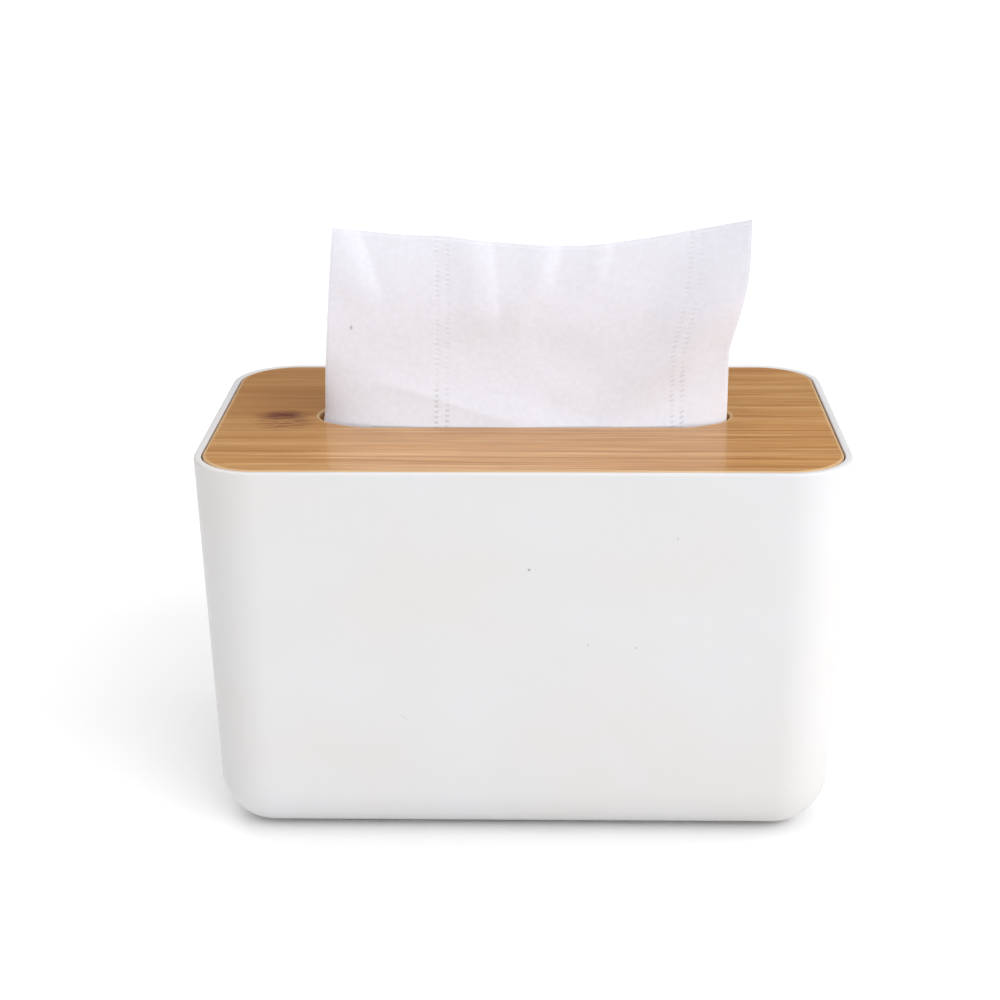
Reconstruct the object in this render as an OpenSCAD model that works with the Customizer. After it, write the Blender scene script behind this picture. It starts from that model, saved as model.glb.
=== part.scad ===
// Box for paper towels or tissues: a moulded tub with leaning walls, a flat wooden lid that sits flush
// in the rim, and a pack of folded tissues whose top one stands up through the slot in the lid.
// The origin is the middle of the base. +X is right, +Y is back and +Z is up, in millimetres.

/* [Tub] */
// Width over the rim, left to right
box_w = 210; // [180:1:260]
// Depth over the rim, front to back
box_d = 130; // [110:1:180]
// Height from the base to the rim
box_h = 128; // [100:1:180]
// Thickness of the walls and the base
wall = 2.4; // [1.6:0.1:4]
// Width of the rim beside the lid
rim_w = 2.4; // [1.6:0.1:4]
// Lean of the walls, in degrees, so that the tub narrows towards its base
draft = 2; // [0.5:0.25:3.5]
// Corner radius at the rim, seen from above
corner_r = 22; // [14:1:34]
// Radius of the edge round the base
base_r = 18; // [4:1:24]
// Rounding of the rim's outer edge
rim_r = 0.8; // [0.2:0.1:1.2]
// Bevel of the rim's inner edge
rim_bevel = 0.4; // [0.1:0.1:0.8]
// Width of the ledge inside the rim that the lid sits on
ledge_w = 2.6; // [1.5:0.1:5]
// Height of the ledge's upright nose
ledge_nose = 1.2; // [0.6:0.1:3]

/* [Lid] */
// Thickness of the lid
lid_t = 7; // [4:0.5:12]
// Gap between the lid and the rim, all the way round
lid_gap = 0.5; // [0.3:0.1:1.5]
// Rounding of the lid's upper and lower edges
lid_ease = 0.5; // [0.2:0.1:1.5]
// Width of the slot, front to back
slot_w = 29; // [20:1:40]
// Radius of the slot's two ends
slot_end_r = 11.5; // [8:0.5:14]
// Length of the taper between the slot's flanks and each end
slot_taper = 6.5; // [5:0.5:14]
// Gap between the tissue's side edge and each end of the slot
slot_gap = 1.5; // [1:0.25:6]

/* [Pack of tissues] */
// Room between the pack and the walls at its left and right ends, at floor level
pack_end_room = 29; // [15:1:40]
// Room between the pack and the walls in front and behind, at floor level
pack_side_room = 10.7; // [6:0.1:20]
// Free height between the pack and the lid
pack_headroom = 29; // [24:1:50]
// Height of one fold in the pack
fold_h = 2.4; // [1.6:0.2:6]
// How far each fold's round edge stands out
fold_out = 0.9; // [0.3:0.1:2]
// Gap between the tissues and what they lie on
rest_gap = 0.3; // [0.2:0.1:0.8]

/* [Pulled tissue] */
// Thickness of the pulled tissue
sheet_t = 0.6; // [0.4:0.1:1]
// Height of its top edge over the lid where it sags lowest
sheet_rise = 58.5; // [40:0.5:75]
// Place of the lowest point of the top edge, as a share of the width, right of the middle
sag_place = 0.1; // [-0.2:0.05:0.2]
// Extra height of its top left corner
left_up = 4.6; // [0:0.2:10]
// Extra height of its top right corner
right_up = 7; // [0:0.2:12]
// How far each side edge is drawn in where it passes the slot
gather = 1.25; // [0:0.25:4]
// How far its left edge leans to the right at the top
left_lean = 4.4; // [0:0.2:10]
// How far its right edge flares out at the top
right_flare = 7.2; // [0:0.2:12]
// Height over the lid where the right edge turns outwards
kink_h = 22; // [12:1:32]
// How far its middle bows forwards in the slot
slot_bow = 6; // [2:0.5:8]
// How far its middle bows forwards at the top
top_bow = 8; // [2:0.5:14]
// How far back its side edges stand from the slot's middle line
edge_back = 1; // [0:0.25:2]
// Distance from the right edge to the crease at the lid
crease_in = 23; // [12:1:40]
// Steepness with which the lower right corner turns back behind the crease
crease_turn = 0.12; // [0:0.02:0.16]
// How far the upper right corner comes forwards again
right_forward = 3; // [0:0.5:6]
// Radius of its bend on the pack
bend_r = 14; // [10:1:16]
// Radius of its turn at the pack's back edge
turn_r = 1.1; // [0.8:0.1:1.6]

/* [Hidden] */
$fn = 96;

// How far a wall leans in over the tub's height, and its thickness measured level
lean = tan(draft);
base_in = box_h * lean;
wall_level = wall / cos(draft);

// Edge round the base, limited by the corner that it runs round
base_round = min(base_r, (corner_r - base_in) / (1 / cos(draft) - lean));
base_hollow = max(0.5, base_round - wall);

// Places in the wall's section, measured out from the axis of the tub's corner
base_x = corner_r - (box_h - base_round) * lean - base_round / cos(draft);
rim_x = corner_r - rim_r * lean - rim_r / cos(draft);
recess_x = corner_r - rim_w;
nose_x = recess_x - ledge_w;
seat_z = box_h - lid_t;
nose_z = seat_z - ledge_nose;
under_z = (nose_z + nose_x + wall_level + base_in - corner_r) / (1 + lean);
under_x = nose_x + nose_z - under_z;

lid_w = box_w - 2 * (rim_w + lid_gap);
lid_d = box_d - 2 * (rim_w + lid_gap);
lid_r = corner_r - rim_w - lid_gap;

// Pack, from the tub's inside at floor level
pack_w = box_w - 2 * (base_in + wall_level + pack_end_room);
pack_d = box_d - 2 * (base_in + wall_level + pack_side_room);
over_w = pack_w / 2 - (box_w / 2 - corner_r + base_x);
over_d = pack_d / 2 - (box_d / 2 - corner_r + base_x);
over = min(base_hollow, max(0, over_w, over_d));
pack_z = wall + base_hollow - sqrt(base_hollow * base_hollow - over * over) + rest_gap;
pack_top = seat_z - pack_headroom;
pack_h = pack_top - pack_z;
folds = max(1, round(pack_h / fold_h));
fold_points = 4;

// Pulled tissue. Heights named below are measured from the lid's top face
sheet_w = pack_w;
sheet_l = 2 * pack_d;
slot_l = sheet_w - 2 * gather + 2 * slot_gap;
end_x = slot_l / 2 - slot_end_r;
flank_x = end_x - slot_taper;
taper = asin((slot_w / 2 - slot_end_r) / slot_taper);
run_z = -(lid_t + pack_headroom) + rest_gap + sheet_t / 2 + 2 * turn_r;
drop = -run_z - bend_r;
turn_y = pack_d / 2 - turn_r - sheet_t;
held = drop + bend_r * PI / 2 + (turn_y - bend_r) + turn_r * PI;
crease_slope = 23;
crease_lean = 20;

// Stages of the pulled tissue from its top edge to its tucked end, with the rows in each
UP = 0;
DOWN = 1;
BEND = 2;
RUN = 3;
TURN = 4;
TAIL = 5;
stage_rows = [16, 5, 5, 3, 6, 3];
columns = 30;
rows = [
    for (stage = [UP:TAIL]) for (k = [0:stage_rows[stage] - 1]) [stage, k / stage_rows[stage]],
    [TAIL, 1]
];

function smooth(x) = let (c = min(1, max(0, x))) c * c * (3 - 2 * c);

// Height of the top edge at u, which runs from -0.5 at the left edge to 0.5 at the right one
function rise(u) = sheet_rise + (u < sag_place
    ? left_up * pow((sag_place - u) / (sag_place + 0.5), 1.4)
    : right_up * pow((u - sag_place) / (0.5 - sag_place), 1.4));

// Side to side place at u and height h
function half_width(h) = sheet_w / 2 - gather * smooth(1 + (h + lid_t) / (drop - lid_t));
function left_edge(h) = -half_width(h) + left_lean * max(0, h) / sheet_rise;
function flare(h) = sin(90 * min(1, max(0, (h - kink_h) / (sheet_rise - kink_h))));
function right_edge(h) = half_width(h) + right_flare * flare(h);
function across(u, h) = left_edge(h) + (u + 0.5) * (right_edge(h) - left_edge(h));

// Depth past the crease, which runs down and in from the kink in the right edge
function past_crease(x, h) = max(0, min(
    (kink_h - h) * cos(crease_slope) - (half_width(0) - x) * sin(crease_slope),
    (x - half_width(0) + crease_in) * cos(crease_lean) - h * sin(crease_lean)
));

// Front to back place at u and height h, which fades out between the lid and the bend
function bow(h) = slot_bow + (top_bow - slot_bow) * min(1, max(0, h) / sheet_rise);
function comes_forward(u, h) = smooth((u - 0.2) / 0.3) * smooth((h - kink_h) / (sheet_rise - kink_h));
function sway(u, h) = smooth(1 + (h + lid_t) / (drop - lid_t)) * (edge_back - bow(h) * (1 - 4 * u * u)
    + crease_turn * past_crease(across(u, h), h) - right_forward * comes_forward(u, h));

// Middle of the sheet at column u and stage f: [front to back, height, angle of travel from straight down]
function path(stage, f, u) =
    stage == UP ? [0, rise(u) * (1 - f), 0] :
    stage == DOWN ? [0, -drop * f, 0] :
    stage == BEND ? [bend_r * (1 - cos(90 * f)), -drop - bend_r * sin(90 * f), 90 * f] :
    stage == RUN ? [bend_r + (turn_y - bend_r) * f, run_z, 90] :
    stage == TURN ? [turn_y + turn_r * sin(180 * f), run_z - turn_r * (1 - cos(180 * f)), 90 - 180 * f] :
    [turn_y - (sheet_l - rise(u) - held) * f, run_z - 2 * turn_r, -90];

// Point of the sheet at one of its faces, where side is 1 for the back or upper face and -1 for the other
function sheet_point(row, u, side) = let (
    p = path(row[0], row[1], u),
    h = p[1],
    move = side * sheet_t / 2
) [across(u, h), p[0] + sway(u, h) + move * cos(p[2]), box_h + h + move * sin(p[2])];

// Wall of the tub in section: x runs out from the corner's axis and y is the height
module wall_section() {
    base_y = base_round * (1 - sin(draft));
    hollow_y = base_round - base_hollow * sin(draft);
    difference() {
        union() {
            polygon([
                [0, 0],
                [base_x, 0],
                [base_x + base_round * cos(draft), base_y],
                [rim_x + rim_r * cos(draft), box_h - rim_r * (1 + sin(draft))],
                [rim_x, box_h],
                [0, box_h]
            ]);
            intersection() {
                translate([base_x, base_round]) circle(base_round);
                square([corner_r, box_h]);
            }
            translate([rim_x, box_h - rim_r]) circle(rim_r);
        }
        polygon([
            [-1, base_round - base_hollow],
            [base_x, base_round - base_hollow],
            [base_x + base_hollow * cos(draft), hollow_y],
            [under_x, under_z],
            [nose_x, nose_z],
            [nose_x, seat_z],
            [recess_x, seat_z],
            [recess_x, box_h - rim_bevel],
            [recess_x + rim_bevel, box_h],
            [recess_x + rim_bevel, box_h + 1],
            [-1, box_h + 1]
        ]);
        translate([base_x, base_round]) circle(base_hollow);
    }
}

// Edge of the lid in section, from the axis of its corner
module lid_section() {
    square([lid_r - lid_ease, lid_t]);
    translate([0, lid_ease]) square([lid_r, lid_t - 2 * lid_ease]);
    translate([lid_r - lid_ease, lid_ease]) circle(lid_ease);
    translate([lid_r - lid_ease, lid_t - lid_ease]) circle(lid_ease);
}

// Carries a section round a rectangle w by d with corners of radius r
module round_rectangle(w, d, r) {
    for (quarter = [0:3]) {
        turned = quarter % 2 == 1;
        along = turned ? d : w;
        beside = turned ? w : d;
        rotate([0, 0, 90 * quarter]) {
            translate([along / 2 - r, beside / 2 - r, 0]) rotate_extrude(angle = 90) children();
            translate([along / 2 - r, 0, 0]) rotate([90, 0, 0])
                linear_extrude(beside - 2 * r, center = true) children();
        }
    }
}

module slot_outline() {
    tangent = [sin(taper), cos(taper)];
    square([2 * flank_x, slot_w], center = true);
    for (side = [-1, 1]) {
        translate([side * flank_x, 0]) circle(d = slot_w);
        translate([side * end_x, 0]) circle(slot_end_r);
        polygon([
            [side * (flank_x + slot_w / 2 * tangent[0]), -slot_w / 2 * tangent[1]],
            [side * (end_x + slot_end_r * tangent[0]), -slot_end_r * tangent[1]],
            [side * (end_x + slot_end_r * tangent[0]), slot_end_r * tangent[1]],
            [side * (flank_x + slot_w / 2 * tangent[0]), slot_w / 2 * tangent[1]]
        ]);
    }
}

module tub() {
    color("#efeeec") {
        round_rectangle(box_w, box_d, corner_r) wall_section();
        translate([0, 0, (base_round - base_hollow) / 2])
            cube([box_w - 2 * corner_r, box_d - 2 * corner_r, base_round - base_hollow], center = true);
    }
}

module lid() {
    color("#c0915f") translate([0, 0, seat_z]) difference() {
        union() {
            round_rectangle(lid_w, lid_d, lid_r) lid_section();
            translate([0, 0, lid_t / 2]) cube([lid_w - 2 * lid_r, lid_d - 2 * lid_r, lid_t], center = true);
        }
        translate([0, 0, -1]) linear_extrude(lid_t + 2) slot_outline();
    }
}

module tissue_pack() {
    fold = pack_h / folds;
    edge_y = pack_d / 2 - fold_out;
    function fold_edge(i, k) = let (a = 180 * k / fold_points - 90)
        [edge_y + fold_out * cos(a), pack_z + fold * (i + 0.5 + sin(a) / 2)];
    back = [for (i = [0:folds - 1]) for (k = [0:fold_points - 1]) fold_edge(i, k)];
    top = [[edge_y, pack_top]];
    side = concat(back, top);
    outline = concat(side, [for (i = [len(side) - 1:-1:0]) [-side[i][0], side[i][1]]]);
    color("#f4f2f0") rotate([90, 0, 90]) linear_extrude(pack_w, center = true) polygon(outline);
}

module pulled_tissue() {
    wide = columns + 1;
    last = len(rows) - 1;
    face_points = wide * len(rows);
    points = [
        for (side = [1, -1]) for (row = rows) for (c = [0:columns]) sheet_point(row, c / columns - 0.5, side)
    ];
    function at(r, c, side) = (side > 0 ? 0 : face_points) + r * wide + c;
    faces = [
        for (r = [0:last - 1]) for (c = [0:columns - 1]) each [
            [at(r, c, 1), at(r, c + 1, 1), at(r + 1, c, 1)],
            [at(r, c + 1, 1), at(r + 1, c + 1, 1), at(r + 1, c, 1)],
            [at(r, c, -1), at(r + 1, c, -1), at(r, c + 1, -1)],
            [at(r, c + 1, -1), at(r + 1, c, -1), at(r + 1, c + 1, -1)]
        ],
        for (r = [0:last - 1]) each [
            [at(r, 0, 1), at(r + 1, 0, 1), at(r + 1, 0, -1), at(r, 0, -1)],
            [at(r, columns, -1), at(r + 1, columns, -1), at(r + 1, columns, 1), at(r, columns, 1)]
        ],
        for (c = [0:columns - 1]) each [
            [at(0, c, -1), at(0, c + 1, -1), at(0, c + 1, 1), at(0, c, 1)],
            [at(last, c, 1), at(last, c + 1, 1), at(last, c + 1, -1), at(last, c, -1)]
        ]
    ];
    color("#e9e7ea") polyhedron(points, faces);
}

tub();
lid();
tissue_pack();
pulled_tissue();
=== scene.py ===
"""Paper towel box: the looks of its tub, lid, pack of tissues and pulled tissue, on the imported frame.

Everything is in metres. The origin is the middle of the base, +X is right, +Y is back and +Z is up.
"""
import math

import bmesh
import bpy
import numpy as np
from bpy.props import FloatProperty, FloatVectorProperty, IntProperty, PointerProperty
from mathutils import Matrix, Vector, noise


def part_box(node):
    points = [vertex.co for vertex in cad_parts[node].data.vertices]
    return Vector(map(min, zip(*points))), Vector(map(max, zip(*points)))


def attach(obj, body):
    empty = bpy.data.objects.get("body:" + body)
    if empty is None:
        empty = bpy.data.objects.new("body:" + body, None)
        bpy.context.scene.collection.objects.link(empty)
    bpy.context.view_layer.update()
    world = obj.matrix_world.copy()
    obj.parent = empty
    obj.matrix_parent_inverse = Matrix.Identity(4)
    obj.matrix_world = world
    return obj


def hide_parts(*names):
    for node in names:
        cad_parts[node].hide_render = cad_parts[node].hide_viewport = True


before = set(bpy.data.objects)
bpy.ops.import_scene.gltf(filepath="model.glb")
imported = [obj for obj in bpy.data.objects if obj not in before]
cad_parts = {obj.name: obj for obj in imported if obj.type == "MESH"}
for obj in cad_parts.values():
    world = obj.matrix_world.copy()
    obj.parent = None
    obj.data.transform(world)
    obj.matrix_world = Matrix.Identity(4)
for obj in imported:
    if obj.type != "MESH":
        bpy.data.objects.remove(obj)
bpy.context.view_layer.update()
TUB_LOW, TUB_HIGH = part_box("tub")
LID_LOW, LID_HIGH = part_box("lid")
PACK_LOW, PACK_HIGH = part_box("tissue_pack")

bl_info = {
    "name": "Paper towel box",
    "version": (1, 0, 0),
    "blender": (4, 5, 0),
    "location": "View3D > Sidebar > Towel Box",
    "description": "Makes a paper towel box: moulded tub, wooden lid, pack of tissues and pulled tissue",
    "category": "Object",
}

MM = 0.001


def linear(code):
    """An sRGB colour such as "#C0915F" as linear red, green and blue."""
    shares = [int(code[i:i + 2], 16) / 255 for i in (1, 3, 5)]
    return tuple(s / 12.92 if s <= 0.04045 else ((s + 0.055) / 1.055) ** 2.4 for s in shares)


def length(name, description, default):
    """A size in metres that the panel shows as a length."""
    return FloatProperty(name=name, description=description, default=default, min=0, precision=5,
                         unit="LENGTH", subtype="DISTANCE")


def colour(name, description, code):
    """A colour that the panel shows as a swatch."""
    return FloatVectorProperty(name=name, description=description, default=linear(code), min=0, max=1,
                               size=3, subtype="COLOR")


def strength(name, description, default):
    """The strength or power of a light."""
    return FloatProperty(name=name, description=description, default=default, min=0)


class TowelBoxTub(bpy.types.PropertyGroup):
    """Sizes and colours of the moulded tub."""
    width: length("Width", "Width over the rim", 0.210)
    depth: length("Depth", "Depth over the rim", 0.130)
    height: length("Height", "Height from the base to the rim", TUB_HIGH.z)
    wall: length("Wall", "Thickness of the walls and the base", 0.0024)
    rim_width: length("Rim width", "Width of the rim beside the lid", 0.0024)
    lean: FloatProperty(name="Lean", description="Lean of the walls towards the base",
                        default=math.radians(2), min=0, max=math.radians(5),
                        unit="ROTATION", subtype="ANGLE")
    corner_radius: length("Corner radius", "Radius of the upright corners at the rim", 0.022)
    base_radius: length("Base radius", "Radius of the edge round the base", 0.018)
    rim_rounding: length("Rim rounding", "Rounding of the rim's outer edge", 0.0008)
    rim_bevel: length("Rim bevel", "Rounding of the rim's inner edge", 0.0004)
    ledge_width: length("Ledge width", "Width of the ledge under the lid", 0.0026)
    ledge_nose: length("Ledge nose", "Height of the ledge's upright nose", 0.0012)
    plastic: colour("Plastic", "White of the moulded plastic", "#DAD9DA")
    plastic_warm: colour("Warm plastic", "Warmer white of its cloudy patches", "#DAD7D5")
    speck: colour("Speck", "Colour of the few specks in the plastic", "#8E8984")


class TowelBoxLid(bpy.types.PropertyGroup):
    """Sizes and colours of the wooden lid."""
    thickness: length("Thickness", "Thickness of the lid", LID_HIGH.z - LID_LOW.z)
    corner_radius: length("Corner radius", "Radius of the lid's corners", 0.0191)
    ease: length("Eased edge", "Rounding of the lid's edges", 0.0005)
    slot_width: length("Slot width", "Width of the slot, front to back", 0.029)
    slot_end_radius: length("Slot end radius", "Radius of the slot's two ends", 0.0115)
    slot_taper: length("Slot taper", "Length of the taper beside each end of the slot", 0.0065)
    slot_gap: length("Slot gap", "Gap between the tissue's side edge and each end of the slot", 0.0015)
    wood: colour("Wood", "Main tone of the wood", "#C8965B")
    wood_pale: colour("Pale wood", "Tone of its pale strips", "#D4A66E")
    # The dark tone also paints the shade towards the back and over the left of the lid.
    wood_dark_and_shade: colour("Dark wood", "Tone of the dark streaks", "#95602D")
    knot: colour("Knot", "Tone of the dark patch near the left end", "#5A2216")
    # The eased edges' paler tone is a painted highlight.
    edge: colour("Eased edge", "Tone of the eased edges, where the cut fibres show", "#DDBE95")


class TowelBoxTissue(bpy.types.PropertyGroup):
    """Sizes and colours of the pack and of the pulled tissue."""
    layer: length("Layer", "Height of one folded layer in the pack", 0.0012)
    thickness: length("Thickness", "Thickness of the pulled tissue, drawn a little thick so that it shows",
                      0.00024)
    rise: length("Rise", "Height of the pulled tissue's top edge over the lid where it is lowest", 0.0591)
    gather: length("Gather", "How far each side edge of the pulled tissue draws in at the slot", 0.00125)
    columns: IntProperty(name="Columns", description="Columns of faces across the pulled tissue",
                         default=136, min=20, max=200)
    paper: colour("Paper", "White of the pulled tissue", "#EAEBF4")
    paper_warm: colour("Warm paper", "Tone of its thinner patches", "#E7E7EF")
    pack_paper: colour("Pack paper", "White of the folded pack", "#F0EEEE")
    speck: colour("Speck", "Colour of the small mark near the left edge", "#A9A5A6")


class TowelBoxStage(bpy.types.PropertyGroup):
    """Colours and strengths of the stage."""
    floor: colour("Floor", "Colour of the paper floor", "#FCFCFC")
    key: strength("Key", "Power of the soft light on the right, in watts", 3.1)
    front: strength("Front", "Strength of the broad light from the front", 1.5)
    back: strength("Back", "Strength of the soft light from behind", 0.4)
    left: strength("Left", "Strength of the soft light from the left", 0.35)
    dome: strength("Dome", "Strength of the light from above", 1.1)
    horizon: strength("Horizon", "Strength of the light from the sides", 0.05)


def add(tree, kind, inputs=None, **settings):
    """Adds a node with its settings. Its inputs are values, or sockets to link from."""
    node = tree.nodes.new(kind)
    for name, value in settings.items():
        setattr(node, name, value)
    for key, value in (inputs or {}).items():
        if isinstance(value, bpy.types.NodeSocket):
            tree.links.new(value, node.inputs[key])
        else:
            node.inputs[key].default_value = value
    return node


def new_material(name, inputs):
    """A material with one Principled shader that has these inputs, its tree, and the shader."""
    material = bpy.data.materials.new(name)
    material.use_nodes = True
    tree = material.node_tree
    tree.nodes.clear()
    shader = add(tree, "ShaderNodeBsdfPrincipled", inputs)
    add(tree, "ShaderNodeOutputMaterial", {"Surface": shader.outputs["BSDF"]})
    return material, tree, shader


def opaque(rgb):
    """A colour with full opacity, as colour sockets take it."""
    return (*rgb, 1)


def stretched_noise(tree, place, sizes_mm, detail=2.0, roughness=0.5):
    """Noise whose features measure about sizes_mm along x, y and z."""
    scaled = add(tree, "ShaderNodeMapping", {"Vector": place, "Scale": [1000 / s for s in sizes_mm]})
    return add(tree, "ShaderNodeTexNoise", {
        "Vector": scaled.outputs["Vector"], "Scale": 1.0, "Detail": detail, "Roughness": roughness,
    }).outputs["Fac"]


def between(tree, value, low, high, to_low=0.0, to_high=1.0):
    """A value mapped smoothly from low..high to to_low..to_high."""
    return add(tree, "ShaderNodeMapRange", {
        "Value": value, "From Min": low, "From Max": high, "To Min": to_low, "To Max": to_high,
    }, interpolation_type="SMOOTHSTEP").outputs["Result"]


def reckon(tree, operation, *values):
    """One step of arithmetic on values or sockets."""
    return add(tree, "ShaderNodeMath", dict(enumerate(values)), operation=operation).outputs["Value"]


def blended(tree, share, first, second):
    """Colour first turned into colour second by a share."""
    return add(tree, "ShaderNodeMix", {0: share, 6: first, 7: second}, data_type="RGBA").outputs[2]


def tinted(tree, tone, mask, most, rgb):
    """A tone turned towards a colour where the mask is high, by a share of most at the most."""
    return blended(tree, reckon(tree, "MULTIPLY", mask, most), tone, opaque(rgb))


def bumped(tree, shader, height, reach):
    """Gives the shader a relief whose height map stands out by a reach in metres."""
    bump = add(tree, "ShaderNodeBump", {"Height": height, "Distance": reach, "Strength": 1.0})
    tree.links.new(bump.outputs["Normal"], shader.inputs["Normal"])


def spot(tree, place, centre_mm, radii_mm, soft=0.5):
    """1 inside an ellipsoid round centre_mm, fading to 0 at its surface."""
    moved = add(tree, "ShaderNodeMapping", {
        "Vector": place,
        "Location": [-c / r for c, r in zip(centre_mm, radii_mm)],
        "Scale": [1000 / r for r in radii_mm],
    })
    distance = add(tree, "ShaderNodeVectorMath", {0: moved.outputs["Vector"]}, operation="LENGTH")
    return between(tree, distance.outputs["Value"], 1.0, 1.0 - soft)


# Specks on the tub's front, in millimetres, where the photograph shows them: x, z, radius, strength.
SPECKS = ((2.4, 96.1, 0.65, 0.75), (21.1, 70.3, 0.5, 0.4), (36.4, 69.3, 0.5, 0.4), (48.8, 106.7, 0.5, 0.35),
          (49.1, 23.5, 0.55, 0.4))
# The short scuff on the tub's front: its middle, half length and half width, and its slope in degrees.
SCUFF_X, SCUFF_Z, SCUFF_LONG, SCUFF_WIDE, SCUFF_SLOPE = -38.2, 44.4, 2.6, 0.35, 38


def moulded_polypropylene(sizes):
    """White polypropylene from a satin mould: an even cool white, soft highlights, and a few specks."""
    material, tree, shader = new_material("Polypropylene_moulded_satin", {"IOR": 1.49})
    place = add(tree, "ShaderNodeTexCoord").outputs["Object"]
    # Cloudy patches about 60 mm across, where the melt cooled unevenly, barely show.
    clouds = between(tree, stretched_noise(tree, place, (60, 60, 45), 3), 0.35, 0.7)
    tone = blended(tree, clouds, opaque(sizes.plastic), opaque(sizes.plastic_warm))
    # Each mark is 6 mm deep from front to back, because the wall leans.
    speck_y, scuff_y, deep = -63.5, -62.1, 3
    turned = add(tree, "ShaderNodeVectorRotate", {
        "Vector": place, "Center": (SCUFF_X * MM, 0, SCUFF_Z * MM), "Angle": math.radians(-SCUFF_SLOPE),
    }, rotation_type="Y_AXIS").outputs["Vector"]
    scuff = spot(tree, turned, (SCUFF_X, scuff_y, SCUFF_Z), (SCUFF_LONG, deep, SCUFF_WIDE), 0.8)
    marks = reckon(tree, "MULTIPLY", scuff, 0.16)
    for x, z, radius, share in SPECKS:
        mark = spot(tree, place, (x, speck_y, z), (radius, deep, radius), 0.6)
        marks = reckon(tree, "MAXIMUM", marks, reckon(tree, "MULTIPLY", mark, share))
    tone = blended(tree, marks, tone, opaque(sizes.speck))
    tree.links.new(tone, shader.inputs["Base Color"])
    # The mould's grit is about 0.1 mm. It is drawn 0.5 mm coarse, so that the highlight's soft grain shows.
    grit = stretched_noise(tree, place, (0.5, 0.5, 0.5), 2)
    tree.links.new(between(tree, stretched_noise(tree, place, (30, 30, 30), 2), 0.3, 0.7, 0.36, 0.44),
                   shader.inputs["Roughness"])
    waves = stretched_noise(tree, place, (45, 45, 60), 1)
    height = reckon(tree, "ADD", grit, reckon(tree, "MULTIPLY", waves, 8.0))
    bumped(tree, shader, height, 0.008 * MM)
    return material


def lacquered_bamboo(sizes):
    """Bamboo veneer with a clear coat: golden strips with fine streaks along X, under a gloss that mirrors
    what stands on the lid. A painted highlight makes the eased edges paler than the face, and painted shade
    darkens the back and the left of the face."""
    material, tree, shader = new_material("Bamboo_veneer_lacquered", {
        "Roughness": 0.55, "Specular IOR Level": 0.25,
        "Coat Weight": 0.38, "Coat Roughness": 0.13, "Coat IOR": 1.5,
    })
    place = add(tree, "ShaderNodeTexCoord").outputs["Object"]
    # The grain wanders a millimetre or so from straight.
    drift = reckon(tree, "SUBTRACT", stretched_noise(tree, place, (70, 30, 30), 1), 0.5)
    drift = add(tree, "ShaderNodeCombineXYZ", {"Y": reckon(tree, "MULTIPLY", drift, 3.5 * MM)})
    wander = add(tree, "ShaderNodeVectorMath", {0: drift.outputs["Vector"], 1: place}, operation="ADD")
    wander = wander.outputs["Vector"]
    # Strips about 8 mm wide differ in tone, and streaks 1.3 mm and lines 2.2 mm apart run along them. Real
    # fibres are about 0.3 mm wide, and are drawn 0.6 mm wide so that they show.
    strips = between(tree, stretched_noise(tree, wander, (200, 8, 8), 1), 0.35, 0.65)
    streaks = between(tree, stretched_noise(tree, wander, (90, 1.3, 1.3), 3, 0.6), 0.42, 0.66)
    lines = between(tree, stretched_noise(tree, wander, (120, 2.2, 2.2), 2, 0.55), 0.55, 0.66)
    fibres = stretched_noise(tree, wander, (30, 0.6, 0.6), 3, 0.6)
    clouds = between(tree, stretched_noise(tree, place, (55, 32, 32), 2), 0.35, 0.7)
    tone = blended(tree, strips, opaque(sizes.wood), opaque(sizes.wood_pale))
    for grain, most in ((streaks, 0.45), (lines, 0.50), (clouds, 0.22)):
        tone = tinted(tree, tone, grain, most, sizes.wood_dark_and_shade)
    tone = blended(tree, between(tree, fibres, 0.34, 0.62, 0.42, 0.0), tone, opaque(sizes.wood_dark_and_shade))
    # Short dark vessels, about 7 mm long.
    vessels = between(tree, stretched_noise(tree, wander, (7, 0.9, 0.9), 2, 0.5), 0.62, 0.72)
    tone = tinted(tree, tone, vessels, 0.3, sizes.wood_dark_and_shade)
    # The knot: a ragged dark patch with a fainter tail in front of it.
    face_z = LID_HIGH.z / MM
    ragged = stretched_noise(tree, place, (7, 2.0, 2.0), 4, 0.65)
    core = reckon(tree, "MULTIPLY", spot(tree, place, (-81.5, -1.0, face_z), (12, 9, 9), 0.9),
                  between(tree, ragged, 0.28, 0.52))
    tail = reckon(tree, "MULTIPLY", spot(tree, place, (-80.0, -9.0, face_z), (13, 13, 9), 0.9),
                  between(tree, ragged, 0.42, 0.60, 0.0, 0.7))
    patch = reckon(tree, "MAXIMUM", core, tail)
    # Painted shade: the face is drawn darker towards the back, and over its left back part round the knot.
    depth = add(tree, "ShaderNodeSeparateXYZ", {"Vector": place}).outputs["Y"]
    back = between(tree, depth, -0.01, 0.06, 0.0, 0.34)
    left_back_shade = reckon(tree, "MULTIPLY", spot(tree, place, (-84.0, 18.0, face_z), (70, 50, 20), 1.0), 0.70)
    tone = blended(tree, reckon(tree, "MAXIMUM", back, left_back_shade), tone, opaque(sizes.wood_dark_and_shade))
    tone = tinted(tree, tone, patch, 0.95, sizes.knot)
    # Painted highlight: the eased edges are drawn paler, as if they caught the light.
    eased = add(tree, "ShaderNodeAttribute", attribute_name="eased").outputs["Fac"]
    tone = tinted(tree, tone, eased, 0.6, sizes.edge)
    tree.links.new(tone, shader.inputs["Base Color"])
    bumped(tree, shader, fibres, 0.03 * MM)
    return material


# Places across the sheet, in metres, of the embossed rows of dashes that hold the two plies together.
DASH_ROWS = (-0.0300, -0.0263, 0.0498, 0.0532)


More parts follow.
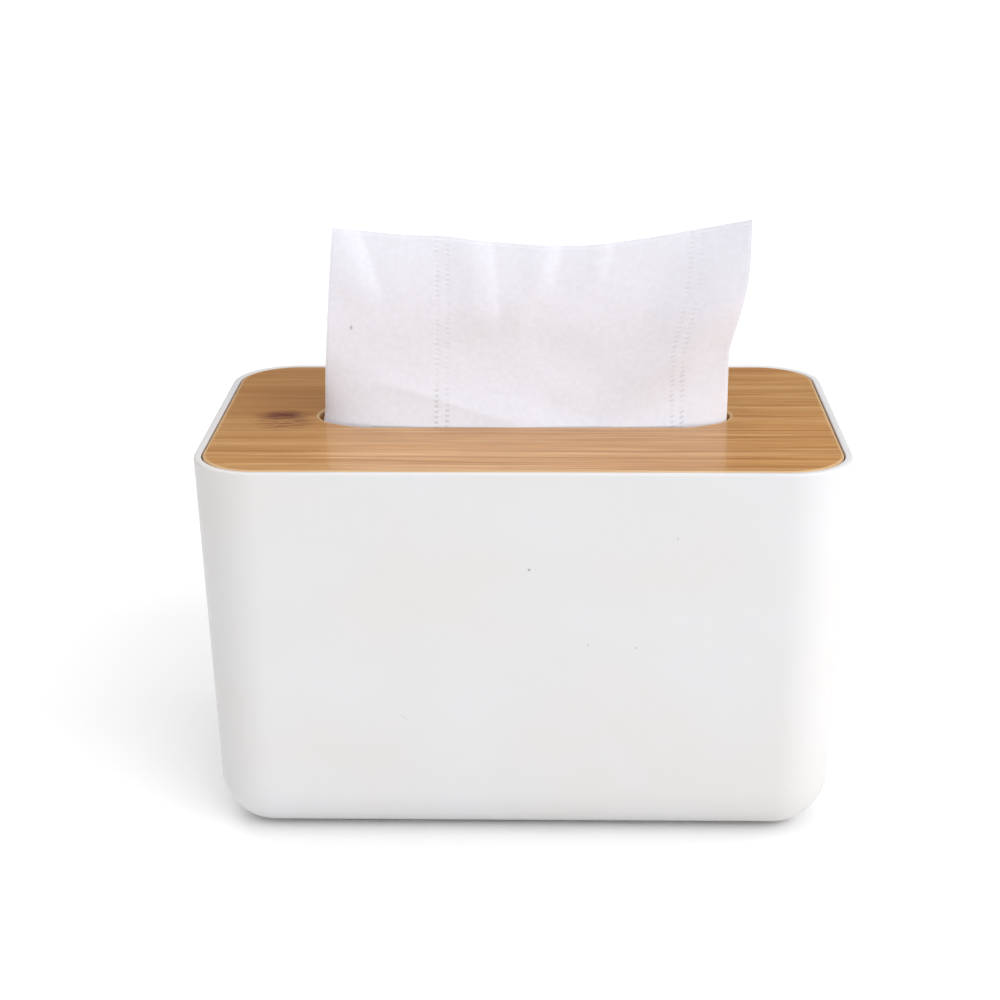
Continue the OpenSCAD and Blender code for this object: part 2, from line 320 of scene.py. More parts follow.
def two_ply_tissue(sizes):
    """Creped two-ply tissue: matt, faintly cloudy, with two pairs of rows of embossed dashes."""
    material, tree, shader = new_material("Tissue_two_ply_embossed", {
        "Roughness": 0.95, "Specular IOR Level": 0.15, "Sheen Weight": 0.15,
    })
    sheet_place = add(tree, "ShaderNodeUVMap", uv_map="sheet").outputs["UV"]
    parts = add(tree, "ShaderNodeSeparateXYZ", {"Vector": sheet_place})
    across, along = parts.outputs["X"], parts.outputs["Y"]
    # Uneven pulp makes clouds about 2 mm across.
    clouds = between(tree, stretched_noise(tree, sheet_place, (2.2, 2.2, 4), 4, 0.7), 0.36, 0.64)
    tone = blended(tree, clouds, opaque(sizes.paper), opaque(sizes.paper_warm))
    # Each dash is 1.4 mm across and 0.7 mm high, slopes a little, and comes every 1.65 mm down the sheet.
    pitch, slope = 1.65 * MM, 0.18
    nearest = 1.0
    for row in DASH_ROWS:
        distance = reckon(tree, "ABSOLUTE", reckon(tree, "SUBTRACT", across, row))
        nearest = reckon(tree, "MINIMUM", nearest, distance)
    in_row = between(tree, nearest, 0.85 * MM, 0.55 * MM)
    sloped = reckon(tree, "ADD", along, reckon(tree, "MULTIPLY", across, slope))
    phase = reckon(tree, "PINGPONG", sloped, pitch / 2)
    dash = reckon(tree, "MULTIPLY", in_row, between(tree, phase, 0.52 * MM, 0.22 * MM))
    worn = between(tree, stretched_noise(tree, sheet_place, (14, 9, 9), 2), 0.36, 0.6, 0.15, 1.0)
    dash = reckon(tree, "MULTIPLY", dash, worn)
    # They show most where the sheet stands in the slot, about 60 mm down from its top edge.
    shown = reckon(tree, "MULTIPLY", dash, between(tree, along, 0.044, 0.056, 0.07, 0.30))
    tone = blended(tree, shown, tone, opaque(sizes.speck))
    # The one small mark, near the left edge.
    speck = spot(tree, sheet_place, (-60.7, 32.8, 0), (0.8, 1.1, 5), 0.8)
    tone = tinted(tree, tone, speck, 0.7, sizes.speck)
    tree.links.new(tone, shader.inputs["Base Color"])
    # Crepe lines are about 0.2 mm apart. They are drawn 0.7 mm apart and soft, so that they show.
    crepe = stretched_noise(tree, sheet_place, (1.3, 0.7, 1), 3, 0.6)
    pulp = stretched_noise(tree, sheet_place, (1.6, 1.6, 3), 3, 0.6)
    height = reckon(tree, "ADD", reckon(tree, "MULTIPLY", crepe, 0.55), pulp)
    height = reckon(tree, "SUBTRACT", height, reckon(tree, "MULTIPLY", dash, 1.6))
    bumped(tree, shader, height, 0.05 * MM)
    return material


def folded_tissue(sizes):
    """The same tissue folded in a pack: matt white layers with soft round folds."""
    material, tree, shader = new_material("Tissue_folded_pack", {
        "Roughness": 0.95, "Specular IOR Level": 0.15,
    })
    place = add(tree, "ShaderNodeTexCoord").outputs["Object"]
    clouds = between(tree, stretched_noise(tree, place, (14, 14, 3), 3), 0.35, 0.65)
    tone = blended(tree, clouds, opaque(sizes.pack_paper), opaque(sizes.paper_warm))
    tree.links.new(tone, shader.inputs["Base Color"])
    crepe = stretched_noise(tree, place, (1.6, 0.8, 0.5), 3, 0.6)
    bumped(tree, shader, crepe, 0.08 * MM)
    return material


def paper_floor(sizes):
    """Matt studio paper, with no pattern that the eye would find."""
    return new_material("Studio_paper_matt", {
        "Base Color": opaque(sizes.floor), "Roughness": 0.9, "Specular IOR Level": 0.1,
    })[0]


def piece(name, points, faces, material, uvs=None, sharp=40, eased=None):
    """A mesh object at the origin with outward faces. uvs and eased have one entry for each point."""
    mesh = bpy.data.meshes.new(name)
    mesh.from_pydata([tuple(p) for p in points], [], faces)
    if uvs is not None:
        layer = mesh.uv_layers.new(name="sheet")
        corner = np.zeros(len(mesh.loops), dtype=np.int32)
        mesh.loops.foreach_get("vertex_index", corner)
        layer.data.foreach_set("uv", np.asarray(uvs, dtype=np.float32)[corner].ravel())
    if eased is not None:
        shares = mesh.attributes.new("eased", "FLOAT", "POINT")
        shares.data.foreach_set("value", np.asarray(eased, dtype=np.float32))
    form = bmesh.new()
    form.from_mesh(mesh)
    bmesh.ops.recalc_face_normals(form, faces=form.faces)
    form.to_mesh(mesh)
    form.free()
    mesh.shade_smooth()
    mesh.set_sharp_from_angle(angle=math.radians(sharp))
    mesh.materials.append(material)
    made = bpy.data.objects.new(name, mesh)
    bpy.context.scene.collection.objects.link(made)
    return made


def arc(centre, radius, first, last, steps):
    """Points of an arc in a section, with its angles in degrees."""
    angles = np.radians(np.linspace(first, last, steps + 1))
    return [(centre[0] + radius * math.cos(a), centre[1] + radius * math.sin(a)) for a in angles]


def line(start, end, steps, near=0.001):
    """Points inside a straight line, with one close to each end to hold the shading flat."""
    run = math.dist(start, end)
    shares = [min(0.3, near / run), *np.linspace(0, 1, steps + 1)[1:-1], 1 - min(0.3, near / run)]
    return [(start[0] + s * (end[0] - start[0]), start[1] + s * (end[1] - start[1])) for s in shares]


def rounded_loop(half_x, half_y, radius):
    """A level loop round a rectangle whose corner centres are at half_x, half_y."""
    corners = ((1, 1), (-1, 1), (-1, -1), (1, -1))
    loop = []
    for quarter, (sx, sy) in enumerate(corners):
        loop += arc((sx * half_x, sy * half_y), radius, 90 * quarter, 90 * quarter + 90, 20)
        x, y = loop[-1]
        next_sx, next_sy = corners[(quarter + 1) % 4]
        loop += line((x, y), (x + (next_sx - sx) * half_x, y + (next_sy - sy) * half_y), 10)
    return loop


def skin(loops, closed=False, caps=False):
    """Faces between loops of equal length, round a ring if closed, or ended by caps."""
    count = len(loops[0])
    points = [p for loop in loops for p in loop]
    faces = []
    last = len(loops) if closed else len(loops) - 1
    for k in range(last):
        a, b = k * count, (k + 1) % len(loops) * count
        faces += [(a + i, a + (i + 1) % count, b + (i + 1) % count, b + i) for i in range(count)]
    if caps:
        faces += [tuple(range(count)), tuple(range((len(loops) - 1) * count, len(loops) * count))]
    return points, faces


class TOWELBOX_OT_tub(bpy.types.Operator):
    """Makes the moulded tub with its rim, ledge and round base edge"""
    bl_idname = "towelbox.tub"
    bl_label = "Tub"

    def execute(self, context):
        s = context.scene.towel_box_tub
        lid = context.scene.towel_box_lid
        lean = math.tan(s.lean)
        cos, sin = math.cos(s.lean), math.sin(s.lean)
        corner = s.corner_radius
        base_in = s.height * lean
        base_round = min(s.base_radius, (corner - base_in) / (1 / cos - lean))
        hollow = max(0.0005, base_round - s.wall)
        base_x = corner - (s.height - base_round) * lean - base_round / cos
        rim_x = corner - s.rim_rounding * lean - s.rim_rounding / cos
        recess_x = corner - s.rim_width
        nose_x = recess_x - s.ledge_width
        seat = s.height - lid.thickness
        nose_z = seat - s.ledge_nose
        under_z = (nose_z + nose_x + s.wall / cos + base_in - corner) / (1 + lean)
        under = (nose_x + nose_z - under_z, under_z)
        degrees = math.degrees(s.lean)
        tip = 0.3 * MM
        bottom = arc((base_x, base_round), base_round, -90, -degrees, 18)
        rim = arc((rim_x, s.height - s.rim_rounding), s.rim_rounding, -degrees, 90, 7)
        bevel = arc((recess_x + s.rim_bevel, s.height - s.rim_bevel), s.rim_bevel, 90, 180, 4)
        seat_root = arc((recess_x - tip, seat + tip), tip, 0, -90, 3)
        nose = arc((nose_x + tip, seat - tip), tip, 90, 180, 4)
        floor_round = arc((base_x, base_round), hollow, -degrees, -90, 14)
        section = [
            *bottom, *line(bottom[-1], rim[0], 10), *rim, *line(rim[-1], bevel[0], 1, 0.0002), *bevel,
            *line(bevel[-1], seat_root[0], 3, 0.0005), *seat_root,
            *line(seat_root[-1], nose[0], 1, 0.0004), *nose,
            (nose_x, nose_z), under, *line(under, floor_round[0], 10), *floor_round,
        ]
        half_x, half_y = s.width / 2 - corner, s.depth / 2 - corner
        loops = [[(x, y, z) for x, y in rounded_loop(half_x, half_y, r)] for r, z in section]
        points, faces = skin(loops, caps=True)
        tub = piece("tub_moulded", points, faces, moulded_polypropylene(s))
        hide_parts("tub")
        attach(tub, "box")
        return {"FINISHED"}


def round_all(quadrant):
    """A closed loop from its first quadrant, which runs from the X axis to the Y axis."""
    second = [(-x, y) for x, y in reversed(quadrant)][1:]
    upper = quadrant + second
    return upper + [(x, -y) for x, y in reversed(upper)][1:-1]


def straight(start, end, steps):
    """Points after start up to end."""
    return [(start[0] + (end[0] - start[0]) * k / steps, start[1] + (end[1] - start[1]) * k / steps)
            for k in range(1, steps + 1)]


class TOWELBOX_OT_lid(bpy.types.Operator):
    """Makes the wooden lid with its slot and eased edges"""
    bl_idname = "towelbox.lid"
    bl_label = "Lid"

    def execute(self, context):
        s = context.scene.towel_box_lid
        half_w, half_d = (LID_HIGH.x - LID_LOW.x) / 2, (LID_HIGH.y - LID_LOW.y) / 2
        low, high = LID_LOW.z, LID_HIGH.z
        gather = context.scene.towel_box_tissue.gather
        slot_length = PACK_HIGH.x - PACK_LOW.x - 2 * gather + 2 * s.slot_gap
        end_x = slot_length / 2 - s.slot_end_radius
        flank_x = end_x - s.slot_taper
        taper = math.degrees(math.asin((s.slot_width / 2 - s.slot_end_radius) / s.slot_taper))

        def outside(inset):
            """The lid's outline, drawn in by an inset."""
            radius = s.corner_radius
            side = straight((half_w - inset, 0), (half_w - inset, half_d - radius), 6)
            bend = arc((half_w - radius, half_d - radius), radius - inset, 0, 90, 24)
            back = straight(bend[-1], (0, half_d - inset), 18)
            return round_all([(half_w - inset, 0), *side, *bend[1:], *back])

        def slot(widen):
            """The slot's outline, drawn out by a widening. It has as many points as the lid's."""
            end = arc((end_x, 0), s.slot_end_radius + widen, 0, 90 - taper, 16)
            flank = arc((flank_x, 0), s.slot_width / 2 + widen, 90 - taper, 90, 6)
            return round_all([*end, *straight(end[-1], flank[0], 4), *flank[1:],
                              *straight(flank[-1], (0, s.slot_width / 2 + widen), 22)])

        # Rings this close to the eased edges hold the shading of the faces and of the walls flat.
        face_hold, wall_hold = 0.8 * MM, 1.2 * MM

        def plate(z, inner, outer):
            """Level rings between two loops, the first and last of them close to the eased edges."""
            rings = [[] for _ in range(6)]
            for a, b in zip(inner, outer):
                near = face_hold / math.dist(a, b)
                for ring, t in zip(rings, (near, 0.2, 0.4, 0.6, 0.8, 1 - near)):
                    ring.append((a[0] + (b[0] - a[0]) * t, a[1] + (b[1] - a[1]) * t, z))
            return rings

        # Distance in from the side wall and distance down from the face, from the wall to the face.
        angles = [math.radians(a) for a in (0, 22.5, 45, 67.5, 90)]
        rounding = [(s.ease * (1 - math.cos(a)), s.ease * (1 - math.sin(a))) for a in angles]

        def edge(outline, face, way, steps):
            """Rings round an eased edge. way is 1 for the top face and -1 for the bottom one."""
            return [([(x, y, face - way * down) for x, y in outline(into)], 1) for into, down in steps]

        # Each ring has the share of eased edge that its points get, for the painted highlight there.
        top = [(ring, 0) for ring in plate(high, slot(s.ease), outside(s.ease))]
        bottom = [(ring, 0) for ring in reversed(plate(low, slot(s.ease), outside(s.ease)))]
        wall_out = [([(x, y, z) for x, y in outside(0)], 0) for z in (high - wall_hold, low + wall_hold)]
        wall_in = [([(x, y, z) for x, y in slot(0)], 0) for z in (low + wall_hold, high - wall_hold)]
        rings = [
            *edge(slot, high, 1, rounding), *top, *edge(outside, high, 1, rounding[::-1]), *wall_out,
            *edge(outside, low, -1, rounding), *bottom, *edge(slot, low, -1, rounding[::-1]), *wall_in,
        ]
        points, faces = skin([ring for ring, _ in rings], closed=True)
        eased = [share for ring, share in rings for _ in ring]
        lid = piece("lid_bamboo", points, faces, lacquered_bamboo(s), eased=eased)
        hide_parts("lid")
        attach(lid, "lid")
        return {"FINISHED"}


def stacking_tree(material):
    """Geometry nodes that stack copies of one folded layer, each shifted and turned a little."""
    tree = bpy.data.node_groups.new("Stack_of_layers", "GeometryNodeTree")
    face = tree.interface
    face.new_socket("Layer", in_out="INPUT", socket_type="NodeSocketGeometry")
    for name, kind, default in (("Count", "NodeSocketInt", 10), ("Pitch", "NodeSocketFloat", 0.001),
                                ("Start", "NodeSocketFloat", 0.0), ("Shift", "NodeSocketFloat", 0.0004),
                                ("Seed", "NodeSocketInt", 5)):
        face.new_socket(name, in_out="INPUT", socket_type=kind).default_value = default
    face.new_socket("Material", in_out="INPUT", socket_type="NodeSocketMaterial").default_value = material
    face.new_socket("Stack", in_out="OUTPUT", socket_type="NodeSocketGeometry")
    given = add(tree, "NodeGroupInput").outputs
    start = add(tree, "ShaderNodeCombineXYZ", {"Z": given["Start"]}).outputs["Vector"]
    step = add(tree, "ShaderNodeCombineXYZ", {"Z": given["Pitch"]}).outputs["Vector"]
    column = add(tree, "GeometryNodeMeshLine", {
        "Count": given["Count"], "Start Location": start, "Offset": step,
    })
    low = reckon(tree, "MULTIPLY", given["Shift"], -1.0)
    low = add(tree, "ShaderNodeCombineXYZ", {"X": low, "Y": low}).outputs["Vector"]
    high = add(tree, "ShaderNodeCombineXYZ", {"X": given["Shift"], "Y": given["Shift"]}).outputs["Vector"]
    shift = add(tree, "FunctionNodeRandomValue", {"Min": low, "Max": high, "Seed": given["Seed"]},
                data_type="FLOAT_VECTOR").outputs["Value"]
    moved = add(tree, "GeometryNodeSetPosition", {"Geometry": column.outputs["Mesh"], "Offset": shift})
    # Each layer turns by 0.004 radians at most, a quarter of a degree.
    turn = add(tree, "FunctionNodeRandomValue", {
        "Min": (0, 0, -0.004), "Max": (0, 0, 0.004), "Seed": given["Seed"],
    }, data_type="FLOAT_VECTOR").outputs["Value"]
    laid = add(tree, "GeometryNodeInstanceOnPoints", {
        "Points": moved.outputs["Geometry"], "Instance": given["Layer"], "Rotation": turn,
    })
    whole = add(tree, "GeometryNodeRealizeInstances", {"Geometry": laid.outputs["Instances"]})
    dressed = add(tree, "GeometryNodeSetMaterial", {"Geometry": whole.outputs["Geometry"],
                                                    "Material": given["Material"]})
    add(tree, "NodeGroupOutput", {"Stack": dressed.outputs["Geometry"]})
    return tree


class TOWELBOX_OT_pack(bpy.types.Operator):
    """Makes the pack of folded tissues, layer on layer"""
    bl_idname = "towelbox.pack"
    bl_label = "Pack of tissues"

    def execute(self, context):
        s = context.scene.towel_box_tissue
        half_w, half_d = (PACK_HIGH.x - PACK_LOW.x) / 2, (PACK_HIGH.y - PACK_LOW.y) / 2
        tall = PACK_HIGH.z - PACK_LOW.z
        count = max(2, round(tall / s.layer))
        pitch = tall / count
        # A layer leaves a thin gap to the next, and this margin for its shift and its turn.
        thick, margin = 0.94 * pitch, 0.45 * MM
        # One layer in section, from back to front: flat with round folds.
        reach = half_d - margin - thick / 2
        section = [
            *arc((reach, 0), thick / 2, -90, 90, 6),
            *line((reach, thick / 2), (-reach, thick / 2), 6),
            *arc((-reach, 0), thick / 2, 90, 270, 6),
            *line((-reach, -thick / 2), (reach, -thick / 2), 6),
        ]
        loops = []
        for share in np.linspace(-1, 1, 13):
            # Edges of a fold aren't dead straight: they wander by a tenth of a millimetre.
            sway = 0.12 * MM * math.sin(5 * share + 1)
            loops.append([(share * (half_w - margin), y + sway, z) for y, z in section])
        points, faces = skin(loops, caps=True)
        paper = folded_tissue(s)
        stack = piece("tissue_pack_layers", points, faces, paper)
        tree = stacking_tree(paper)
        modifier = stack.modifiers.new("Stack", "NODES")
        modifier.node_group = tree
        given = {item.name: item.identifier for item in tree.interface.items_tree if item.in_out == "INPUT"}
        for name, value in (("Count", count), ("Pitch", pitch), ("Start", PACK_LOW.z + pitch / 2),
                            ("Shift", 0.3 * MM), ("Seed", 7), ("Material", paper)):
            modifier[given[name]] = value
        evaluated = stack.evaluated_get(context.evaluated_depsgraph_get())
        plain = bpy.data.meshes.new_from_object(evaluated)
        stack.modifiers.remove(modifier)
        stack.data = plain
        if len(plain.polygons) < count * 20:
            raise RuntimeError("the stack of layers came out empty")
        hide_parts("tissue_pack")
        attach(stack, "box")
        return {"FINISHED"}


class SheetForm:
    """The pulled tissue's form in millimetres. It runs as in the CAD model, from its free top edge down
    through the slot, back over the pack and forwards under itself. Its standing part has the photograph's
    folds, and stands up to 10 mm in front of or behind the CAD model's. Heights are measured from the lid's
    top face. A place across is a share u of the width, from -0.5 at the left to 0.5 at the right."""

    # Radii of the bend and of the turn, and the CAD sheet's thickness and its gap over the pack.
    BEND_R, TURN_R, SOLID_T, REST_GAP = 14, 1.1, 0.6, 0.3
    # The top edge sags between its raised corners to this share u, with a slight hump at another.
    SAG, LEFT_UP, RIGHT_UP, HUMP, HUMP_HALF = 0.1, 6.3, 10.2, -0.19, 0.09
    # The right edge kinks at this height and flares out above it. The left edge leans in at the top. Both
    # stand a little to the right of their place in the slot.
    KINK, FLARE, LEFT_LEAN, RIGHT_SHIFT, LEFT_SHIFT = 24, 5.5, 3.9, 0.2, 1
    # How far the sheet stands off the slot's front edge, and higher up off the slot's middle line, and how
    # far over and under the lid's top face it is clear of that edge.
    CLEAR, FORWARD, FOOT_OVER, FOOT_UNDER = 0.9, 5.4, 28, 16
    # How far the right side curls forwards at the top, and the share u where that starts.
    CURL, CURL_START = 5.5, 0.1

    def __init__(self, sizes, lid):
        pack_d = (PACK_HIGH.y - PACK_LOW.y) / MM
        self.lid_t = lid.thickness / MM
        self.rise_low = sizes.rise / MM
        self.width = (PACK_HIGH.x - PACK_LOW.x) / MM
        self.gather = sizes.gather / MM
        self.length = 2 * pack_d
        headroom = (LID_LOW.z - PACK_HIGH.z) / MM
        self.run_z = self.REST_GAP + self.SOLID_T / 2 + 2 * self.TURN_R - self.lid_t - headroom
        self.drop = -self.run_z - self.BEND_R
        self.turn_y = pack_d / 2 - self.TURN_R - self.SOLID_T
        self.spans = {
            "down": self.drop,
            "bend": self.BEND_R * math.pi / 2,
            "run": self.turn_y - self.BEND_R,
            "turn": self.TURN_R * math.pi,
        }
        self.held = sum(self.spans.values())
        self.slot_half = lid.slot_width / 2 / MM
        half_in_slot = self.width / 2 - self.gather
        self.edge_share = half_in_slot / (half_in_slot + lid.slot_gap / MM)

    @staticmethod
    def smooth(x):
        """A smooth step from 0 to 1 while x goes from 0 to 1."""
        c = np.clip(x, 0, 1)
        return c * c * (3 - 2 * c)

    def above_kink(self, h):
        """Share of the way from the kink's height to the top edge's lowest point."""
        return (h - self.KINK) / (self.rise_low - self.KINK)

    def rise(self, u):
        """Height of the top edge, which sags between its two raised corners."""
        left = self.LEFT_UP * np.clip((self.SAG - u) / (0.5 + self.SAG), 0, 1) ** 1.4
        right = self.RIGHT_UP * np.clip((u - self.SAG) / (0.5 - self.SAG), 0, 1) ** 1.4
        hump = np.exp(-((u - self.HUMP) / self.HUMP_HALF) ** 2)
        return self.rise_low + left + right + hump

    def free(self, h):
        """1 above the lid's underside, fading to 0 where the sheet bends towards the back."""
        return self.smooth(1 + (h + self.lid_t) / (self.drop - self.lid_t))

    def across(self, u, h):
        """Side to side place. Only paper near an edge leans with it, so the middle columns stay upright."""
        lean = self.LEFT_LEAN * (np.maximum(0, h) / self.rise_low) ** 1.5 * self.smooth((-0.15 - u) / 0.35)
        spread = np.sin(np.pi / 2 * np.clip(self.above_kink(h), 0, 1))
        flare = self.FLARE * spread * self.smooth((u + 0.3) / 0.7)
        shift = self.RIGHT_SHIFT * self.smooth(2 * u) + self.LEFT_SHIFT * self.smooth(-2 * u)
        shift = shift * self.smooth((h + 4) / 8)
        return 2 * u * (self.width / 2 - self.gather * self.free(h)) + lean + flare + shift

    def sway(self, u, h):
        """Front to back place, without the folds. The sheet follows the slot's front edge and its round ends,
        leans back where it leaves them, and its right side curls forwards towards the top."""
        in_slot = self.CLEAR - self.slot_half * np.sqrt(1 - (2 * u * self.edge_share) ** 6)
        curled = np.maximum(0, 2 * (u - self.CURL_START)) ** 1.6
        curl = self.CURL * curled * np.maximum(0, self.above_kink(h))
        over = np.maximum(0, 1 - h / self.FOOT_OVER) ** 2
        foot = np.where(h > 0, over, self.smooth(1 + h / self.FOOT_UNDER))
        return self.free(h) * ((in_slot + self.FORWARD) * foot - self.FORWARD - curl)

    # The right side comes forwards past one crease and above another, which runs down and in from the kink.
    # Both run up, from one point (x, height) to the next.
    PAST = ((22.8, 6), (47.5, 47.8))
    ABOVE = ((44, -2.6), (67.9, 23.5))
    # How far it comes forwards for each millimetre past the first crease, and how far that goes on, and the
    # distances above the slot and above the second crease over which it starts.
    STEPS = ((0.11, 99), (0.18, 13))
    FROM_SLOT, FROM_CREASE = 24, 14
    # Folds: a crease from start to end (x, height), how far off its crest is, and how far the crest stands
    # forwards. The crest is on the left of a crease that runs down. Each fades out past the crease's ends.
    FOLD_END = 14
    FOLDS = (
        ((-54, 66), (-49, 50), 7, 1.2),
        ((-10, 62), (-8, 40), 7, 1.0),
        ((12.5, 60), (11, 50), 5, 0.8),
        ((9, 47), (5, 38), 6, 0.7),
        ((30, 60), (28, 52), 4, 0.6),
    )
    # Crests and dents with both sides alike: start, end, half width, how far each stands forwards, and a
    # power that is 1 for a sharp crest and 2 for a soft one.
    CRESTS = (
        ((-46, 13.3), (-3, 1), 8, 1.0, 1),
        ((10, 4), (22, 1), 6, -0.8, 2),
    )

    @staticmethod
    def beside(start, end, x, h):
        """Distance off a line, on the right of one that runs up and on the left of one that runs down."""
        (x0, h0), (x1, h1) = start, end
        return ((x - x0) * (h1 - h0) - (h - h0) * (x1 - x0)) / math.dist(start, end)

    @staticmethod
    def past_bend(d, wide=4):
        """Distance past a bend, which starts softly over a few millimetres."""
        return (d + np.hypot(d, wide)) / 2

    def waves(self, x, h):
        """How far bends and folds bring the paper forwards. The bends end above the slot, the folds in it."""
        past = self.beside(*self.PAST, x, h)
        total = sum(slope * (self.past_bend(past) - self.past_bend(past - limit))
                    for slope, limit in self.STEPS)
        above = -self.beside(*self.ABOVE, x, h)
        total = total * self.smooth(h / self.FROM_SLOT) * self.smooth(above / self.FROM_CREASE)
        for start, end, crest, reach in self.FOLDS:
            run = math.dist(start, end)
            along = ((x - start[0]) * (end[0] - start[0]) + (h - start[1]) * (end[1] - start[1])) / run
            off = np.maximum(0, self.beside(start, end, x, h) / crest)
            ends = self.smooth(along / self.FOLD_END + 1) * self.smooth((run - along) / self.FOLD_END + 1)
            total += reach * off * np.exp((1 - off ** 2) / 2) * ends
        for (x0, h0), (x1, h1), half, reach, power in self.CRESTS:
            dx, dh = x1 - x0, h1 - h0
            share = np.clip(((x - x0) * dx + (h - h0) * dh) / (dx * dx + dh * dh), 0, 1)
            gap = np.hypot(x - x0 - share * dx, h - h0 - share * dh)
            total += reach * np.exp(-(gap / half) ** power)
        return total * self.smooth((h + 8) / 12)

    def path(self, stage, f, u):
        """Front to back place, height and direction of travel, in radians from straight down, at a share f of
        the way through a stage."""
        if stage == "up":
            return 0, self.rise(u) * (1 - f), 0
        if stage == "down":
            return 0, -self.drop * f, 0
        if stage == "bend":
            a = math.pi / 2 * f
            return self.BEND_R * (1 - math.cos(a)), -self.drop - self.BEND_R * math.sin(a), a
        if stage == "run":
            return self.BEND_R + self.spans["run"] * f, self.run_z, math.pi / 2
        if stage == "turn":
            a = math.pi * f
            y, h = self.turn_y + self.TURN_R * math.sin(a), self.run_z - self.TURN_R * (1 - math.cos(a))
            return y, h, math.pi / 2 - a
        tail = (self.length - self.rise(u) - self.held) * f
        return self.turn_y - tail, self.run_z - 2 * self.TURN_R, -math.pi / 2

    def travelled(self, stage, f, u):
        """Distance down the sheet from its top edge."""
        rise = self.rise(u)
        spans = {"up": rise, **self.spans, "tail": self.length - rise - self.held}
        before = 0
        for name, span in spans.items():
            if name == stage:
                return before + span * f
            before = before + span


# Crumples of the sheet in millimetres: how far each kind stands out, its size, and the height in the noise
# that it is taken from. On the pack only a share of this is left.
CRUMPLES = ((0.40, 17, 3.1), (0.08, 7, 8.2), (0.02, 2.6, 1.7))
PRESSED = 0.35
# How far the front ply parts from the back one near the free edges, over what width, and how far the back
# ply's face stands off the middle of the sheet where the front ply has ended.
PARTING, PARTING_WIDE, LIP = 0.06, 1.2, 0.03


class TOWELBOX_OT_pulled_tissue(bpy.types.Operator):
    """Makes the tissue that stands up through the slot and lies folded on the pack"""
    bl_idname = "towelbox.pulled_tissue"
    bl_label = "Pulled tissue"

    def execute(self, context):
        s = context.scene.towel_box_tissue
        form = SheetForm(s, context.scene.towel_box_lid)
        top = LID_HIGH.z / MM
        thick = s.thickness / MM
        # The front ply ends 0.7 mm short of the back one at the sides and 1 mm short at the top.
        step = 0.7 / form.width
        short = 1.0 / form.rise_low
        edges = [0.5 - step, 0.5 - 1.15 * step]
        shares = np.unique(np.r_[np.linspace(-0.5, 0.5, s.columns + 1), edges, [-share for share in edges]])
        # Stages down the sheet, with the rows of faces in each.
        counts = (("up", 78), ("down", 18), ("bend", 20), ("run", 20), ("turn", 12), ("tail", 30))
        rows = [(stage, f) for stage, n in counts for f in np.arange(n) / n] + [("tail", 1.0)]
        rows[1:1] = [("up", 0.5 * short)]
        rows[2:3] = [("up", short), ("up", 1.1 * short)]
        rows.sort(key=lambda row: ([stage for stage, _ in counts].index(row[0]), row[1]))
        front_inset = (np.abs(shares) > 0.5 - 1.05 * step)
        points, uvs = {1: [], -1: []}, {1: [], -1: []}
        for stage, f in rows:
            y, h, angle = form.path(stage, f, shares)
            x = form.across(shares, h)
            depth = y + form.sway(shares, h) - form.waves(x, h)
            run = form.travelled(stage, f, shares)
            crumple = np.array([
                sum(reach * noise.noise(Vector((a / size, b / size, z))) for reach, size, z in CRUMPLES)
                for a, b in zip(shares * form.width, run)
            ])
            if stage in ("run", "turn", "tail"):
                crumple = crumple * PRESSED
            lip = front_inset | (stage == "up" and f < 1.05 * short)
            from_edge = (0.5 - np.abs(shares)) * form.width
            if stage == "up":
                from_edge = np.minimum(from_edge, f * form.rise_low)
            parted = thick / 2 + PARTING * np.exp(-from_edge / PARTING_WIDE)
            for side in (1, -1):
                out = thick / 2 if side > 0 else np.where(lip, LIP, parted)
                out = crumple + side * out
                points[side] += list(zip(x, depth + out * math.cos(angle), top + h + out * math.sin(angle)))
                uvs[side] += list(zip(shares * form.width, run))
        wide, last = len(shares), len(rows) - 1
        whole = wide * len(rows)

        def at(r, c, side):
            """Number of a point, from its row, its column and its side: 1 at the back, -1 in front."""
            return r * wide + c + (0 if side > 0 else whole)

        faces = []
        for r in range(last):
            for c in range(wide - 1):
                faces.append((at(r, c, 1), at(r + 1, c, 1), at(r + 1, c + 1, 1), at(r, c + 1, 1)))
                faces.append((at(r, c, -1), at(r, c + 1, -1), at(r + 1, c + 1, -1), at(r + 1, c, -1)))
            for c in (0, wide - 1):
                faces.append((at(r, c, 1), at(r, c, -1), at(r + 1, c, -1), at(r + 1, c, 1)))
        for r in (0, last):
            faces += [(at(r, c, 1), at(r, c + 1, 1), at(r, c + 1, -1), at(r, c, -1))
                      for c in range(wide - 1)]
        metres = np.array(points[1] + points[-1]) * MM
        tissue = piece("pulled_tissue_sheet", metres, faces, two_ply_tissue(s),
                       uvs=np.array(uvs[1] + uvs[-1]) * MM, sharp=30)
        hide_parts("pulled_tissue")
        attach(tissue, "lid")
        return {"FINISHED"}


